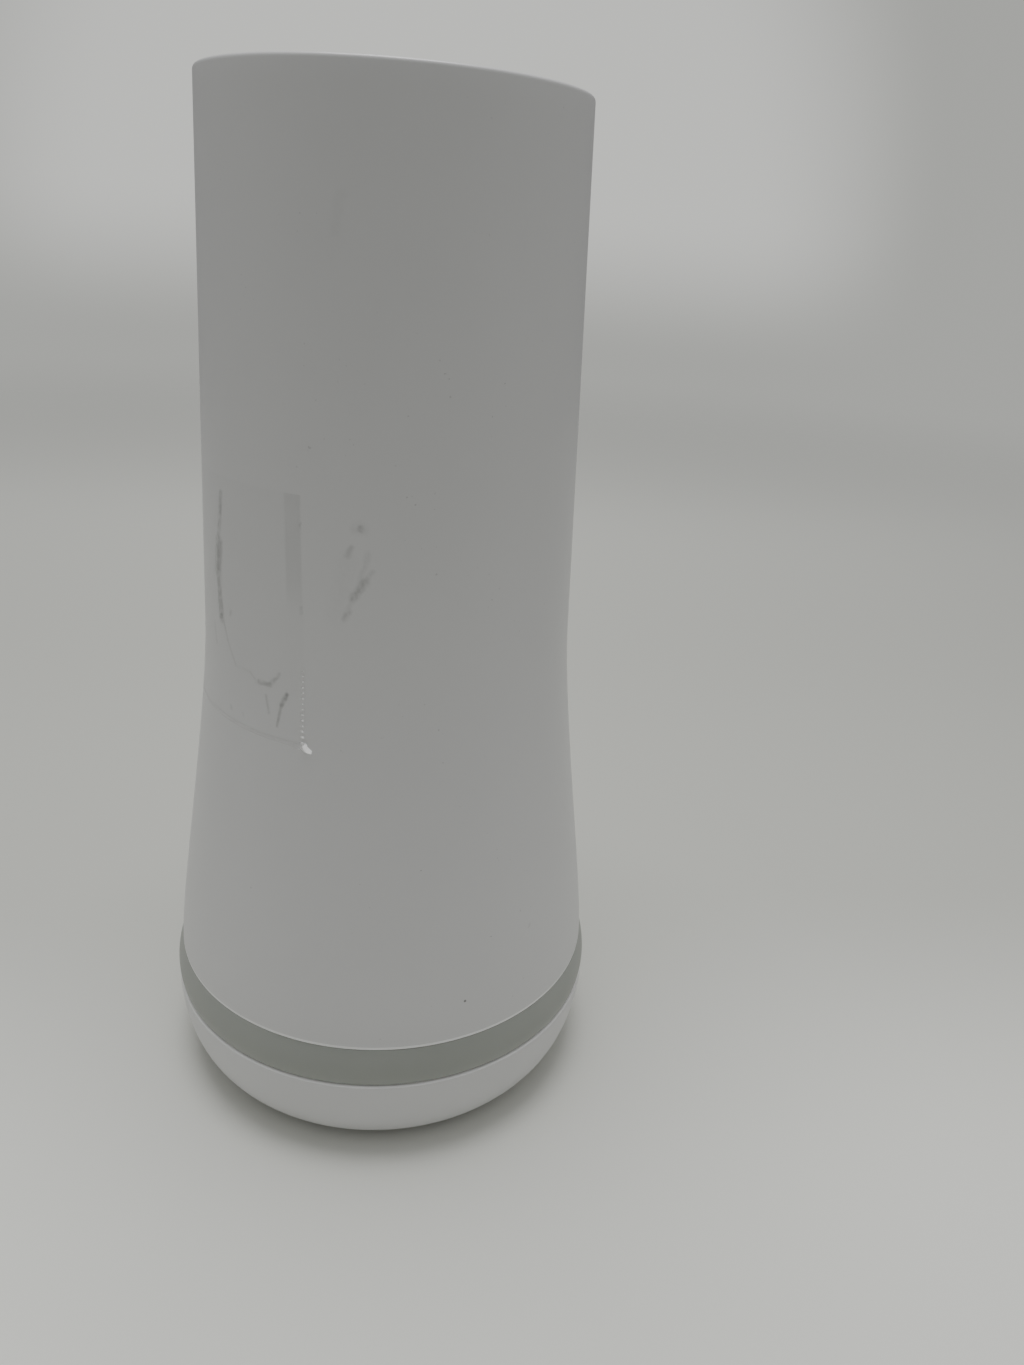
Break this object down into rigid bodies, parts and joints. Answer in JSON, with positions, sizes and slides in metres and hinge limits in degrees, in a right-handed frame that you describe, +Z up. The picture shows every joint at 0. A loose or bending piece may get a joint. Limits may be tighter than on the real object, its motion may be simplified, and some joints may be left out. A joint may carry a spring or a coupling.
{
  "type": "mesh wifi node",
  "caption": "Free-standing tapered tower wireless node with a flared foot, a light ring and a rounded base; rear bay with network jacks, power inlet and push buttons",
  "frame": {"origin": "centre of the underside, on the surface that the node stands on", "axes": "+Z up the tower, -Y the plain front, +Y the port panel at the rear, +X to the right seen from the front"},
  "size_m": [0.0988, 0.0988, 0.2086],
  "materials": {
    "shell_white": "satin white moulding",
    "base_white": "satin white moulding",
    "light_diffuser": "frosted translucent diffuser, unlit",
    "foot_rubber": "matt",
    "steel": "zinc plated",
    "label_paper": "blank satin film label",
    "panel_grey": "fine texture",
    "port_black": "moulded connector body",
    "button_black": "satin",
    "switch_black": "moulded switch body",
    "carrier_plastic": "natural moulding",
    "board_green": "solder mask",
    "aluminium": "extruded",
    "tin_plate": "tin plated",
    "thermal_pad": "soft silicone",
    "lead_black": "coaxial lead jacket",
    "gold_plate": "gold plated",
    "white_plastic": "white"
  },
  "bodies": {
    "housing": {"tower_shell": "shell_white", "top_cap": "shell_white", "base_bowl": "base_white", "light_ring": "light_diffuser", "foot_ring": "foot_rubber", "ballast_plate": "steel", "base_screw_1": "steel", "base_screw_2": "steel", "base_screw_3": "steel", "top_screw_1": "steel", "top_screw_2": "steel", "top_screw_3": "steel", "board_screw_1": "steel", "board_screw_2": "steel", "board_screw_3": "steel", "board_screw_4": "steel", "rating_label": "label_paper", "port_panel": "panel_grey", "wan_jack": "port_black", "lan_jack_1": "port_black", "lan_jack_2": "port_black", "power_jack": "port_black", "power_switch": "switch_black", "wps_switch": "switch_black", "reset_switch": "switch_black", "carrier": "carrier_plastic", "main_board": "board_green", "antenna_1": "board_green", "antenna_2": "board_green", "antenna_3": "board_green", "antenna_4": "board_green", "heat_sink": "aluminium", "heat_spreader": "aluminium", "processor_can": "tin_plate", "radio_can_1": "tin_plate", "radio_can_2": "tin_plate", "processor_pad": "thermal_pad", "radio_pad_1": "thermal_pad", "radio_pad_2": "thermal_pad", "antenna_lead_1": "lead_black", "antenna_lead_2": "lead_black", "antenna_lead_3": "lead_black", "antenna_lead_4": "lead_black", "antenna_socket_1": "gold_plate", "antenna_socket_2": "gold_plate", "antenna_socket_3": "gold_plate", "antenna_socket_4": "gold_plate", "led_board": "white_plastic", "reflector_ring": "white_plastic", "led_cable": "white_plastic", "led_1": "white_plastic", "led_2": "white_plastic", "led_3": "white_plastic", "led_4": "white_plastic", "led_5": "white_plastic", "led_6": "white_plastic"},
    "power_push": {"power_button": "button_black"},
    "wps_push": {"wps_button": "button_black"},
    "reset_push": {"reset_plunger": "button_black"}
  },
  "joints": [
    {"name": "power_button_press", "type": "slide", "parent": "housing", "child": "power_push", "axis": [0, -1, 0], "range_m": [0, 0.0015], "stiffness_N_per_m": 900, "springref_m": -0.0006},
    {"name": "wps_button_press", "type": "slide", "parent": "housing", "child": "wps_push", "axis": [0, -1, 0], "range_m": [0, 0.0008], "stiffness_N_per_m": 1500, "springref_m": -0.0004},
    {"name": "reset_plunger_press", "type": "slide", "parent": "housing", "child": "reset_push", "axis": [0, -1, 0], "range_m": [0, 0.0005], "stiffness_N_per_m": 1500, "springref_m": -0.0004}
  ]
}
